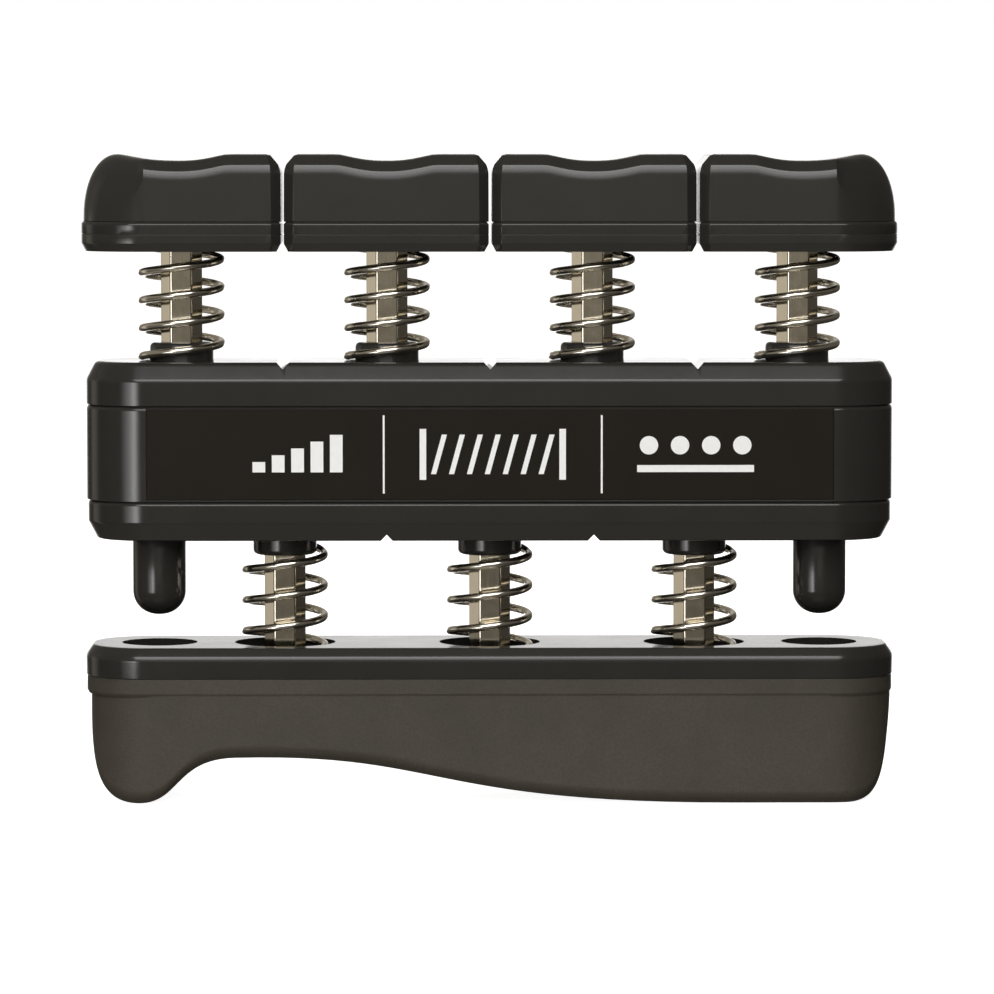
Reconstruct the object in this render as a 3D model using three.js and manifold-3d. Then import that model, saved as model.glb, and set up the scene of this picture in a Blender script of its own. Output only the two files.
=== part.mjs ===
// Hand and finger exerciser: four sprung finger buttons over a housing that is itself
// sprung over a palm grip. Millimetres, +Z up, +X to the viewer's right, -Y towards the
// viewer. The origin is the middle of the palm grip's footprint, at its lowest level.

import * as THREE from 'three';
import { mergeVertices } from 'three/addons/utils/BufferGeometryUtils.js';
import Module from 'manifold-3d';

const wasm = await Module();
wasm.setup();

// ---- Driving dimensions -------------------------------------------------------------

const PITCH = 22;                 // finger pitch, along X
const DEPTH = 16;                 // front to back over the buttons and the palm plate
const CORNER = 6.8;               // plan radius of the outer corners
const SEAM = 0.1;                 // parting line between two pieces that meet
const FIT = 0.05;                 // gap all round between two pieces fixed together
const SLIDE = 0.1;                // gap all round between a post and its guide
const PLAN_STEPS = 3;             // half the straight steps in a quarter turn, seen from above
const PROFILE_STEPS = 6;          // straight steps in each curve of a front view
const NOSE_STEPS = 5;             // straight steps in the round nose of a peg
const ROUND_SIDES = 18;           // sides of round holes, bosses and pegs

const BUTTONS = {
  bottom: 58.8, seam: 62.0, top: 69.1, halfLength: 43.65, gap: 0.5,
  capInset: 0.22, topChamfer: 1.1, baseChamfer: 0.5, cornerChamfer: 1.0,
  dipWidth: 10.4, dipDepth: 0.68, endRoundWidth: 3.6, endRoundHeight: 6.2,
  socketTop: 65.7, wall: 1.6, roof: 2.2,
};

const HOUSING = {
  bottom: 28.05, lowerSeam: 32.25, upperSeam: 42.5, top: 47.0,
  halfLength: 43.2, lowerHalfLength: 43.05, depth: 15.6,
  wall: 1.6, plate: 2.1, chamferIn: 1.0, chamferHigh: 1.9,
  lipHeight: 1.1, lipWall: 0.9, lipRoot: 0.6,
  grooveWidth: 1.3, grooveDepth: 0.7,
  sleeveRadius: 3.43, upperSleeve: [42.7, 49.0], lowerSleeve: [26.2, 32.5],
  seatDepth: 1.2,
};

const LABEL = { halfLength: 36.4, thickness: 0.25, recess: 0.3, edge: 0.25 };

const POST = { acrossFlats: 3.9, upper: [40.3, 65.6], lower: [7.3, 34.6], bevel: 0.3 };
const CLIP = { thickness: 0.8, radius: 3.3, neckRadius: 1.5, mouth: 2.0, play: 0.1 };
const UPPER_CLIP_TOP = HOUSING.upperSleeve[0] - SEAM;
const LOWER_CLIP_BOTTOM = HOUSING.lowerSleeve[1] + SEAM;

const SPRING = { outerRadius: 4.7, wire: 0.88, activeTurns: 4.2, endGap: 0.06, seatGap: 0.05 };
const SPRING_SIDES = 6;
const SPRING_STEPS_PER_TURN = 10;
const UPPER_SPRING = [HOUSING.top, 62.8];
const LOWER_SPRING = [12.5, HOUSING.bottom + HOUSING.seatDepth];

const PEG = { x: 35.5, radius: 2.9, shoulder: 22.2, tip: 19.7, spigotRadius: 1.6, spigotTop: 29.9 };
const PALM = {
  plateTop: 16.7, seam: 13.5, halfLength: 43.35, plateChamfer: 0.8,
  pocketRadius: 5.4, pegHoleRadius: 4.05, pegHoleFloor: 8.3,
};
const GRIP = {
  rimBottom: 11.5, rimHalfLength: 43.3, rimDepth: 15.9, halfLength: 42.9, depth: 15.4,
  coreHalfWidth: 3.8, coreHalfDepth: 5.6, coreFloor: 6.0, footRound: 1.5,
};

const BUTTON_X = [-1.5, -0.5, 0.5, 1.5].map((step) => step * PITCH);
const LOWER_POST_X = [-PITCH, 0, PITCH];
const BIG = 200;                  // larger than the whole object, for cutting

// ---- Materials ----------------------------------------------------------------------

const glossBlack = new THREE.MeshStandardMaterial({ color: 0x0d0d0c, roughness: 0.22, metalness: 0 });
const gripGrey = new THREE.MeshStandardMaterial({ color: 0x2b2926, roughness: 0.7, metalness: 0 });
const labelBlack = new THREE.MeshStandardMaterial({ color: 0x14100e, roughness: 0.4, metalness: 0 });
const nickel = new THREE.MeshStandardMaterial({ color: 0xb9b2a2, roughness: 0.22, metalness: 1 });
const clipSteel = new THREE.MeshStandardMaterial({ color: 0x6f6c66, roughness: 0.4, metalness: 1 });

// ---- Solids -------------------------------------------------------------------------

/** A closed three.js geometry as a solid that can be cut and joined. */
function solidOf(geometry) {
  const bare = new THREE.BufferGeometry();
  bare.setAttribute('position', geometry.getAttribute('position'));
  bare.setIndex(geometry.getIndex());
  const merged = mergeVertices(bare, 1e-4);
  return new wasm.Manifold(new wasm.Mesh({
    numProp: 3,
    vertProperties: new Float32Array(merged.getAttribute('position').array),
    triVerts: new Uint32Array(merged.getIndex().array),
  }));
}

/** A solid as a three.js geometry again. */
function geometryOf(solid) {
  const mesh = solid.getMesh();
  const geometry = new THREE.BufferGeometry();
  geometry.setAttribute('position', new THREE.BufferAttribute(mesh.vertProperties, 3));
  geometry.setIndex(new THREE.BufferAttribute(mesh.triVerts, 1));
  geometry.computeVertexNormals();
  return geometry;
}

/** A plan outline drawn in XY, raised from z0 to z1. */
function raise(shape, z0, z1) {
  const geometry = new THREE.ExtrudeGeometry(shape, {
    depth: z1 - z0, bevelEnabled: false, curveSegments: PLAN_STEPS,
  });
  return solidOf(geometry.translate(0, 0, z0));
}

/** The same, with a chamfer round both its ends, `inset` wide and `high` tall. */
function raiseChamfered(shape, z0, z1, inset, high) {
  const geometry = new THREE.ExtrudeGeometry(shape, {
    depth: z1 - z0 - 2 * high, curveSegments: PLAN_STEPS,
    bevelEnabled: true, bevelSegments: 1, bevelSize: inset, bevelOffset: -inset, bevelThickness: high,
  });
  return solidOf(geometry.translate(0, 0, z0 + high));
}

/** A front outline drawn in XZ, `depth` deep and centred on Y. */
function frontProfile(shape, depth) {
  const geometry = new THREE.ExtrudeGeometry(shape, {
    depth, bevelEnabled: false, curveSegments: PROFILE_STEPS,
  });
  return solidOf(geometry.rotateX(Math.PI / 2).translate(0, depth / 2, 0));
}

function cylinder(radius, z0, z1, x = 0, sides = ROUND_SIDES, topRadius = radius) {
  const geometry = new THREE.CylinderGeometry(topRadius, radius, z1 - z0, sides);
  return solidOf(geometry.rotateX(Math.PI / 2).translate(x, 0, (z0 + z1) / 2));
}

/** A hexagonal bar along Z with one flat facing -Y. */
function hexBar(acrossFlats, z0, z1, x = 0) {
  const radius = acrossFlats / Math.sqrt(3);
  const geometry = new THREE.CylinderGeometry(radius, radius, z1 - z0, 6);
  geometry.rotateY(Math.PI / 6).rotateX(Math.PI / 2).translate(x, 0, (z0 + z1) / 2);
  return solidOf(geometry);
}

function box(x0, x1, y0, y1, z0, z1) {
  const geometry = new THREE.BoxGeometry(x1 - x0, y1 - y0, z1 - z0);
  return solidOf(geometry.translate((x0 + x1) / 2, (y0 + y1) / 2, (z0 + z1) / 2));
}

/** A rectangle in plan, with each of its left and right corners rounded or chamfered. */
function planShape(x0, x1, depth, left, right) {
  const half = depth / 2;
  const shape = new THREE.Shape();
  shape.moveTo(x0 + left.size, -half);
  shape.lineTo(x1 - right.size, -half);
  turnCorner(shape, right, x1 - right.size, -half + right.size, -Math.PI / 2, x1, -half + right.size);
  shape.lineTo(x1, half - right.size);
  turnCorner(shape, right, x1 - right.size, half - right.size, 0, x1 - right.size, half);
  shape.lineTo(x0 + left.size, half);
  turnCorner(shape, left, x0 + left.size, half - left.size, Math.PI / 2, x0, half - left.size);
  shape.lineTo(x0, -half + left.size);
  turnCorner(shape, left, x0 + left.size, -half + left.size, Math.PI, x0 + left.size, -half);
  return shape;
}

function turnCorner(shape, corner, centreX, centreY, fromAngle, endX, endY) {
  if (corner.round) {
    shape.absarc(centreX, centreY, corner.size, fromAngle, fromAngle + Math.PI / 2, false);
  } else {
    shape.lineTo(endX, endY);
  }
}

function roundedPlan(halfLength, depth, inset = 0) {
  const corner = { size: CORNER - inset, round: true };
  return planShape(-halfLength + inset, halfLength - inset, depth - 2 * inset, corner, corner);
}

// ---- Finger buttons -----------------------------------------------------------------

/** Plan of one button: round corners at the end of the row, small chamfers elsewhere. */
function buttonPlan(index, inset) {
  const b = BUTTONS;
  const chamfered = { size: b.cornerChamfer, round: false };
  const rounded = { size: CORNER - inset, round: true };
  const first = index === 0;
  const last = index === BUTTON_X.length - 1;
  const x0 = first ? -b.halfLength + inset : BUTTON_X[index] - PITCH / 2 + b.gap / 2;
  const x1 = last ? b.halfLength - inset : BUTTON_X[index] + PITCH / 2 - b.gap / 2;
  return planShape(x0, x1, DEPTH - 2 * inset, first ? rounded : chamfered, last ? rounded : chamfered);
}

/** Front view of the whole row of caps: rounded outer ends, and a dip over each finger. */
function capRowProfile() {
  const b = BUTTONS;
  const side = b.halfLength - b.capInset;
  const shape = new THREE.Shape();
  shape.moveTo(side, b.seam - 1);
  shape.lineTo(side, b.top - b.endRoundHeight);
  shape.absellipse(side - b.endRoundWidth, b.top - b.endRoundHeight,
    b.endRoundWidth, b.endRoundHeight, 0, Math.PI / 2, false, 0);
  for (const x of [...BUTTON_X].reverse()) {
    const half = b.dipWidth / 2;
    const low = b.top - b.dipDepth;
    shape.lineTo(x + half, b.top);
    shape.bezierCurveTo(x + half / 2, b.top, x + half / 2, low, x, low);
    shape.bezierCurveTo(x - half / 2, low, x - half / 2, b.top, x - half, b.top);
  }
  shape.lineTo(-side + b.endRoundWidth, b.top);
  shape.absellipse(-side + b.endRoundWidth, b.top - b.endRoundHeight,
    b.endRoundWidth, b.endRoundHeight, Math.PI / 2, Math.PI, false, 0);
  shape.lineTo(-side, b.seam - 1);
  return shape;
}

/** Moulded cap: a shell, with a solid post socket in the middle of its underside. */
function buttonCap(index) {
  const b = BUTTONS;
  const x = BUTTON_X[index];
  const cut = b.seam + SEAM / 2;
  const outside = raiseChamfered(buttonPlan(index, b.capInset), cut - b.topChamfer, b.top, 1, b.topChamfer)
    .intersect(frontProfile(capRowProfile(), BIG))
    .intersect(box(-BIG, BIG, -BIG, BIG, cut, BIG));
  const inside = raise(buttonPlan(index, b.capInset + b.wall), 0, b.top - b.roof - b.dipDepth)
    .intersect(box(x - PITCH / 2 + b.wall, x + PITCH / 2 - b.wall, -BIG, BIG, 0, BIG))
    .subtract(cylinder(PALM.pocketRadius + 1, 0, BIG, x));
  return outside
    .subtract(inside)
    .subtract(cylinder(PALM.pocketRadius, 0, UPPER_SPRING[1], x))
    .subtract(hexBar(POST.acrossFlats + 2 * FIT, 0, b.socketTop, x));
}

/** Base plate of a button, slightly proud of its cap, with the hole the spring enters by. */
function buttonBase(index) {
  const b = BUTTONS;
  return raiseChamfered(buttonPlan(index, 0), b.bottom, b.seam - SEAM / 2 + b.baseChamfer, 0.4, b.baseChamfer)
    .intersect(box(-BIG, BIG, -BIG, BIG, 0, b.seam - SEAM / 2))
    .subtract(cylinder(PALM.pocketRadius, 0, BIG, BUTTON_X[index]));
}

// ---- Posts, clips and springs -------------------------------------------------------

/** Hexagonal post with bevelled ends and a turned neck for its clip. */
function post(x, [z0, z1], clipBottom) {
  const corner = POST.acrossFlats / Math.sqrt(3);
  const ends = cylinder(corner - POST.bevel, z0, z0 + POST.bevel, x, 12, corner + 0.02)
    .add(cylinder(corner + 0.02, z0 + POST.bevel, z1 - POST.bevel, x, 12))
    .add(cylinder(corner + 0.02, z1 - POST.bevel, z1, x, 12, corner - POST.bevel));
  const neckLow = clipBottom - CLIP.play / 2;
  const neckHigh = clipBottom + CLIP.thickness + CLIP.play / 2;
  const neckRing = cylinder(corner + 1, neckLow, neckHigh, x)
    .subtract(cylinder(CLIP.neckRadius, 0, BIG, x));
  return hexBar(POST.acrossFlats, z0, z1, x).intersect(ends).subtract(neckRing);
}

/** Open retaining clip that snaps into the neck of a post from behind. */
function clip(x, bottom) {
  const hole = CLIP.neckRadius + FIT;
  return cylinder(CLIP.radius, bottom, bottom + CLIP.thickness, x)
    .subtract(cylinder(hole, 0, BIG, x))
    .subtract(box(x - CLIP.mouth / 2, x + CLIP.mouth / 2, 0, BIG, 0, BIG));
}

/** Centreline of a right-hand compression spring with one closed turn at each end. */
class SpringCurve extends THREE.Curve {
  constructor(x, z0, z1) {
    super();
    const closedPitch = SPRING.wire + SPRING.endGap;
    const low = z0 + SPRING.seatGap + SPRING.wire / 2;
    const high = z1 - SPRING.seatGap - SPRING.wire / 2;
    this.x = x;
    this.turns = SPRING.activeTurns + 2;
    this.levels = [low, low + closedPitch, high - closedPitch, high];
  }

  height(turn) {
    const [low, lowCoil, highCoil, high] = this.levels;
    if (turn < 1) {
      return THREE.MathUtils.lerp(low, lowCoil, turn);
    }
    if (turn > this.turns - 1) {
      return THREE.MathUtils.lerp(highCoil, high, turn - this.turns + 1);
    }
    return THREE.MathUtils.lerp(lowCoil, highCoil, (turn - 1) / SPRING.activeTurns);
  }

  getPoint(t, target = new THREE.Vector3()) {
    const turn = t * this.turns;
    const angle = turn * 2 * Math.PI;
    const radius = SPRING.outerRadius - SPRING.wire / 2;
    return target.set(this.x + radius * Math.cos(angle), radius * Math.sin(angle), this.height(turn));
  }
}

function spring(x, [z0, z1]) {
  const section = new THREE.Shape();
  section.absarc(0, 0, SPRING.wire / 2, 0, 2 * Math.PI, false);
  const path = new SpringCurve(x, z0, z1);
  return solidOf(new THREE.ExtrudeGeometry(section, {
    extrudePath: path,
    steps: Math.round(path.turns * SPRING_STEPS_PER_TURN),
    curveSegments: SPRING_SIDES / 2,
  }));
}

// ---- Housing ------------------------------------------------------------------------

/** V-shaped grooves across the top or the bottom edge of the housing, front to back. */
function grooves(positions, z, direction) {
  const h = HOUSING;
  let cutter = null;
  for (const x of positions) {
    const shape = new THREE.Shape();
    shape.moveTo(x - h.grooveWidth / 2 - 1, z + direction);
    shape.lineTo(x - h.grooveWidth / 2, z);
    shape.lineTo(x, z - direction * h.grooveDepth);
    shape.lineTo(x + h.grooveWidth / 2, z);
    shape.lineTo(x + h.grooveWidth / 2 + 1, z + direction);
    const groove = frontProfile(shape, BIG);
    cutter = cutter ? cutter.add(groove) : groove;
  }
  return cutter;
}

/** Ring that stands inside the centre housing and keeps a cap in line with it. */
function locatingLip(halfLength, z0, z1) {
  const h = HOUSING;
  return raise(roundedPlan(halfLength, h.depth, h.wall + SLIDE), z0, z1)
    .subtract(raise(roundedPlan(halfLength, h.depth, h.wall + SLIDE + h.lipWall), 0, BIG));
}

/** Web that joins a locating lip to the wall of its cap. */
function lipShoulder(halfLength, z0, z1) {
  const h = HOUSING;
  return raise(roundedPlan(halfLength, h.depth, h.wall / 2), z0, z1)
    .subtract(raise(roundedPlan(halfLength, h.depth, h.wall + SLIDE + h.lipWall), 0, BIG));
}

/** Top cover: four guide sleeves whose upper ends stand up inside the finger springs. */
function upperCap() {
  const h = HOUSING;
  const cut = h.upperSeam + SEAM / 2;
  const outline = roundedPlan(h.halfLength, h.depth);
  let solid = raiseChamfered(outline, cut - h.chamferHigh, h.top, h.chamferIn, h.chamferHigh)
    .intersect(box(-BIG, BIG, -BIG, BIG, cut, BIG))
    .subtract(raise(roundedPlan(h.halfLength, h.depth, h.wall), 0, h.top - h.plate))
    .add(locatingLip(h.halfLength, h.upperSeam - h.lipHeight, h.upperSeam + h.lipRoot))
    .add(lipShoulder(h.halfLength, cut, h.upperSeam + h.lipRoot))
    .subtract(grooves([-PITCH, 0, PITCH], h.top, 1));
  for (const x of BUTTON_X) {
    solid = solid.add(cylinder(h.sleeveRadius, ...h.upperSleeve, x));
  }
  for (const x of BUTTON_X) {
    solid = solid.subtract(hexBar(POST.acrossFlats + 2 * SLIDE, 0, BIG, x));
  }
  return solid;
}

/** Middle wall of the housing: an open ring with a shallow recess for the label. */
function centreHousing() {
  const h = HOUSING;
  const front = -h.depth / 2;
  return raise(roundedPlan(h.halfLength, h.depth), h.lowerSeam + SEAM / 2, h.upperSeam - SEAM / 2)
    .subtract(raise(roundedPlan(h.halfLength, h.depth, h.wall), 0, BIG))
    .subtract(box(-LABEL.halfLength - FIT, LABEL.halfLength + FIT, front - 1, front + LABEL.recess,
      h.lowerSeam + LABEL.edge, h.upperSeam - LABEL.edge));
}

/** Bottom cover: three guide sleeves, each in a shallow seat for the top of a palm spring. */
function lowerCap() {
  const h = HOUSING;
  const cut = h.lowerSeam - SEAM / 2;
  const outline = roundedPlan(h.lowerHalfLength, h.depth);
  let solid = raiseChamfered(outline, h.bottom, cut + h.chamferHigh, h.chamferIn, h.chamferHigh)
    .intersect(box(-BIG, BIG, -BIG, BIG, 0, cut))
    .subtract(raise(roundedPlan(h.lowerHalfLength, h.depth, h.wall), h.bottom + h.plate, BIG))
    .add(locatingLip(h.lowerHalfLength, h.lowerSeam - h.lipRoot, h.lowerSeam + h.lipHeight))
    .add(lipShoulder(h.lowerHalfLength, h.lowerSeam - h.lipRoot, cut))
    .subtract(grooves([-PITCH / 2, PITCH / 2], h.bottom, -1));
  for (const x of LOWER_POST_X) {
    solid = solid
      .subtract(cylinder(PALM.pocketRadius, 0, h.bottom + h.seatDepth, x))
      .add(cylinder(h.sleeveRadius, ...h.lowerSleeve, x))
      .subtract(hexBar(POST.acrossFlats + 2 * SLIDE, 0, BIG, x));
  }
  for (const x of [-PEG.x, PEG.x]) {
    solid = solid.subtract(cylinder(PEG.spigotRadius + FIT, 0, BIG, x));
  }
  return solid;
}

function frontLabel() {
  const h = HOUSING;
  const back = -h.depth / 2 + LABEL.recess - FIT;
  return box(-LABEL.halfLength, LABEL.halfLength, back - LABEL.thickness, back,
    h.lowerSeam + LABEL.edge + FIT, h.upperSeam - LABEL.edge - FIT);
}

/** Round-nosed peg that drops into a hole in the palm plate when the housing is squeezed. */
function guidePeg(x) {
  const shoulder = HOUSING.bottom - SEAM;
  const points = [new THREE.Vector2(0, PEG.tip)];
  for (let step = 1; step <= NOSE_STEPS; step += 1) {
    const angle = (step / NOSE_STEPS) * Math.PI / 2;
    const rise = (PEG.shoulder - PEG.tip) * (1 - Math.cos(angle));
    points.push(new THREE.Vector2(PEG.radius * Math.sin(angle), PEG.tip + rise));
  }
  points.push(new THREE.Vector2(PEG.radius, shoulder));
  points.push(new THREE.Vector2(PEG.spigotRadius, shoulder));
  points.push(new THREE.Vector2(PEG.spigotRadius, PEG.spigotTop));
  points.push(new THREE.Vector2(0, PEG.spigotTop));
  const geometry = new THREE.LatheGeometry(points, ROUND_SIDES);
  return solidOf(geometry.rotateX(Math.PI / 2).translate(x, 0, 0));
}

// ---- Palm base ----------------------------------------------------------------------

/** Gloss plate on top of the grip, with the spring pockets and the holes for the pegs. */
function palmPlate() {
  const p = PALM;
  const chamfer = p.plateChamfer;
  let solid = raiseChamfered(roundedPlan(p.halfLength, DEPTH), p.seam + SEAM / 2 - chamfer, p.plateTop,
    chamfer, chamfer).intersect(box(-BIG, BIG, -BIG, BIG, p.seam + SEAM / 2, BIG));
  for (const x of LOWER_POST_X) {
    solid = solid.subtract(cylinder(p.pocketRadius, 0, BIG, x));
  }
  for (const x of [-PEG.x, PEG.x]) {
    solid = solid.subtract(cylinder(p.pegHoleRadius, 0, BIG, x));
  }
  return solid;
}

/** Front view of the grip: thumb hook on the left, palm arch, and a flat foot on the right. */
function gripProfile() {
  const shape = new THREE.Shape();
  shape.moveTo(-44, GRIP.rimBottom);
  shape.lineTo(-42.9, 6.7);
  shape.bezierCurveTo(-42.7, 2.0, -41.2, 0, -37.7, 0);
  shape.bezierCurveTo(-33.2, 0, -33.6, 4.75, -27.4, 4.88);
  shape.bezierCurveTo(-5.0, 5.4, -7.0, 0, 26, 0);
  shape.lineTo(38.8, 0);
  shape.bezierCurveTo(41.2, 0, 42.2, 1.9, 42.9, 6.9);
  shape.lineTo(43.9, GRIP.rimBottom);
  shape.lineTo(43.9, PALM.seam + 1);
  shape.lineTo(-44, PALM.seam + 1);
  return shape;
}

/** End view of the grip, with its lower front and back edges taken off. */
function gripSection() {
  const half = GRIP.depth / 2 + 1;
  const shape = new THREE.Shape();
  shape.moveTo(-half, GRIP.rimBottom + 5);
  shape.lineTo(-half, GRIP.footRound + 1);
  shape.lineTo(-half + 1 + GRIP.footRound, 0);
  shape.lineTo(half - 1 - GRIP.footRound, 0);
  shape.lineTo(half, GRIP.footRound + 1);
  shape.lineTo(half, GRIP.rimBottom + 5);
  const geometry = new THREE.ExtrudeGeometry(shape, { depth: BIG, bevelEnabled: false });
  geometry.translate(0, 0, -BIG / 2).rotateX(Math.PI / 2).rotateZ(Math.PI / 2);
  return solidOf(geometry);
}

function palmGrip() {
  const g = GRIP;
  const top = PALM.seam - SEAM / 2;
  let solid = raise(roundedPlan(g.halfLength, g.depth), 0, top)
    .add(raise(roundedPlan(g.rimHalfLength, g.rimDepth), g.rimBottom, top))
    .intersect(frontProfile(gripProfile(), BIG))
    .intersect(gripSection());
  for (const x of LOWER_POST_X) {
    solid = solid
      .subtract(cylinder(PALM.pocketRadius, LOWER_SPRING[0], BIG, x))
      .subtract(hexBar(POST.acrossFlats + 2 * FIT, POST.lower[0] - SEAM, BIG, x));
  }
  for (const x of [-PEG.x, PEG.x]) {
    solid = solid.subtract(cylinder(PALM.pegHoleRadius, PALM.pegHoleFloor, BIG, x));
  }
  for (const x of [-PITCH / 2, PITCH / 2]) {
    solid = solid.subtract(box(x - g.coreHalfWidth, x + g.coreHalfWidth,
      -g.coreHalfDepth, g.coreHalfDepth, g.coreFloor, BIG));
  }
  return solid;
}

// ---- Assembly -----------------------------------------------------------------------

const exerciser = new THREE.Group();

function addPiece(name, solid, material) {
  const mesh = new THREE.Mesh(geometryOf(solid), material);
  mesh.name = name;
  exerciser.add(mesh);
}

BUTTON_X.forEach((x, index) => {
  const number = index + 1;
  addPiece(`finger_button_cap_${number}`, buttonCap(index), glossBlack);
  addPiece(`finger_button_base_${number}`, buttonBase(index), glossBlack);
  addPiece(`upper_post_${number}`, post(x, POST.upper, UPPER_CLIP_TOP - CLIP.thickness), nickel);
  addPiece(`upper_clip_${number}`, clip(x, UPPER_CLIP_TOP - CLIP.thickness), clipSteel);
  addPiece(`upper_spring_${number}`, spring(x, UPPER_SPRING), nickel);
});

addPiece('housing_upper_cap', upperCap(), glossBlack);
addPiece('housing_centre', centreHousing(), glossBlack);
addPiece('housing_lower_cap', lowerCap(), glossBlack);
addPiece('front_label', frontLabel(), labelBlack);
addPiece('guide_peg_left', guidePeg(-PEG.x), glossBlack);
addPiece('guide_peg_right', guidePeg(PEG.x), glossBlack);

LOWER_POST_X.forEach((x, index) => {
  const number = index + 1;
  addPiece(`lower_post_${number}`, post(x, POST.lower, LOWER_CLIP_BOTTOM), nickel);
  addPiece(`lower_clip_${number}`, clip(x, LOWER_CLIP_BOTTOM), clipSteel);
  addPiece(`lower_spring_${number}`, spring(x, LOWER_SPRING), nickel);
});

addPiece('palm_plate', palmPlate(), glossBlack);
addPiece('palm_grip', palmGrip(), gripGrey);

export default exerciser;
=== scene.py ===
"""Hand and finger exerciser: the finished look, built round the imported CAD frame.

Lengths are metres. +X is to the viewer's right, -Y towards the viewer and +Z up. Places come
from the boxes of the CAD nodes; the constants below give the shapes that a box can't say.
"""

import math

import bmesh
import bpy
import numpy as np
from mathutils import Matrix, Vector

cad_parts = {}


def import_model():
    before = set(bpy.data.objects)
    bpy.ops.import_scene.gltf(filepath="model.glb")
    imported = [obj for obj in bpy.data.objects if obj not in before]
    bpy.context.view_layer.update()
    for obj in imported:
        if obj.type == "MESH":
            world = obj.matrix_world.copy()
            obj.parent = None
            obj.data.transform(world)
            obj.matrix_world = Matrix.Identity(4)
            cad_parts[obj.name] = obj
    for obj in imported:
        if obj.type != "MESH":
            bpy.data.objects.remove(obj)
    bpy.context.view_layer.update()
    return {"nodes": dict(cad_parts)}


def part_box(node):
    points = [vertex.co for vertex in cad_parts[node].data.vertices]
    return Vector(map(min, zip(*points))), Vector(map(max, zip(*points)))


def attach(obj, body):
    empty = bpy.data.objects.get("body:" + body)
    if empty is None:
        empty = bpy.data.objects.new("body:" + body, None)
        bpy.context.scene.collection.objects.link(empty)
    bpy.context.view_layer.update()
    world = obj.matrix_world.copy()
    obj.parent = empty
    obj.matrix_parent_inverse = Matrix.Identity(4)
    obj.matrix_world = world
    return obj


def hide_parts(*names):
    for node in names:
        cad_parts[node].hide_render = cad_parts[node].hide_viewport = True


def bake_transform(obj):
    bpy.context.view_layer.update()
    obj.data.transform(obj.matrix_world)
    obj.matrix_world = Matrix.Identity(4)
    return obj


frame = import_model()

MM = 0.001
TOUCH = 0.015 * MM           # gap left between pieces that are fixed together
BUTTON_COUNT = 4
PALM_POST_COUNT = 3

# Plan shapes
CORNER = 6.8 * MM            # outer corners, seen from above
ARC_STEPS = 20               # steps round a quarter turn
STRAIGHT_STEP = 0.7 * MM     # spacing of points along a straight side

# Finger buttons
DIP_REACH = 5.2 * MM         # half length of a finger dip
OUTER_DIP_REACH = 6.7 * MM   # the same on the side that ends the row
DIP_DEPTH = 0.68 * MM
END_CHAMFER = 1.0 * MM       # vertical corners beside the next button
SLIT_TRIM = 0.09 * MM        # how far an inner end stands past its CAD node's end
DRAFT = 0.10 * MM            # inward lean of a cap's front over its height
CORNER_LEAN = 0.17           # slope of the rounded corners at the ends of the row
POCKET_RADIUS = 5.4 * MM     # round holes that hold the springs

# Housing
SLEEVE_RADIUS = 3.43 * MM
SLEEVE_ROUND = 0.55 * MM
WALL = 1.6 * MM              # thickness of the sides
PLATE = 2.1 * MM             # thickness of the top and bottom faces
CHAMFER_IN = 1.0 * MM        # how far the long edges are cut back, inwards and up
CHAMFER_HIGH = 1.9 * MM
SEAT_PLAY = 0.05 * MM        # gap between a spring and its seat
LOWER_CAP_HEIGHT = 4.2 * MM
GROOVE_WIDTH = 1.3 * MM      # V grooves in the top and bottom faces
GROOVE_DEPTH = 0.7 * MM
LABEL_RECESS = 0.3 * MM      # depth of the label's recess
SPIGOT_SHARE = 0.55          # radius of a guide peg's spigot, as a share of the peg's radius
SPIGOT_PLAY = 0.1 * MM       # gap round a spigot and above it
PEG_SHOULDER = 1.75 * MM     # foot of a spigot, above the ends of the lower sleeves

# Posts and springs
ACROSS_FLATS = 3.9 * MM
SOCKET_PLAY = 0.1 * MM       # added across the flats where a post is fixed
SLIDE_PLAY = 0.2 * MM        # added across the flats where a post slides
NECK_RADIUS = 1.5 * MM       # turned neck that holds the clip
CLIP_PLAY = 0.2 * MM         # room in the neck above and below the clip
WIRE = 0.85 * MM
CLOSED_PITCH = 1.06 * WIRE   # rise of one closed turn at the end of a spring
SPRING_RADIUS = 4.7 * MM     # outside of the coils
TOP_CLIMB = 0.4              # turns over which the wire climbs to its upper seat
WIRE_SIDES = 20
STEPS_PER_TURN = 56

# Palm base
GRIP_LEFT = -42.78 * MM      # ends of the grip below its rim
GRIP_RIGHT = 43.1 * MM
GRIP_HALF_DEPTH = 7.72 * MM
PEG_HOLE_RADIUS = 4.05 * MM
PEG_HOLE_FLOOR = 8.3 * MM
PLATE_CHAMFER = 1.05 * MM
RIM_HEIGHT = 1.95 * MM
FOOT_ROUND = 1.5 * MM
FOOT_STEPS = 12


# ---- Small helpers ------------------------------------------------------------------


def low_high(node):
    """Lowest and highest corners of a CAD node at rest."""
    low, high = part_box(node)
    return Vector(low), Vector(high)


def mix(a, b, t):
    return a + (b - a) * t


def new_object(name, verts, faces, material):
    """Adds a mesh to the scene, with doubled points merged and its faces turned outwards."""
    mesh = bpy.data.meshes.new(name)
    mesh.from_pydata([tuple(v) for v in verts], [], faces)
    mesh.validate()
    work = bmesh.new()
    work.from_mesh(mesh)
    bmesh.ops.remove_doubles(work, verts=work.verts, dist=1e-7)
    bmesh.ops.recalc_face_normals(work, faces=work.faces)
    work.to_mesh(mesh)
    work.free()
    obj = bpy.data.objects.new(name, mesh)
    bpy.context.scene.collection.objects.link(obj)
    if material:
        mesh.materials.append(material)
    return obj


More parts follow.
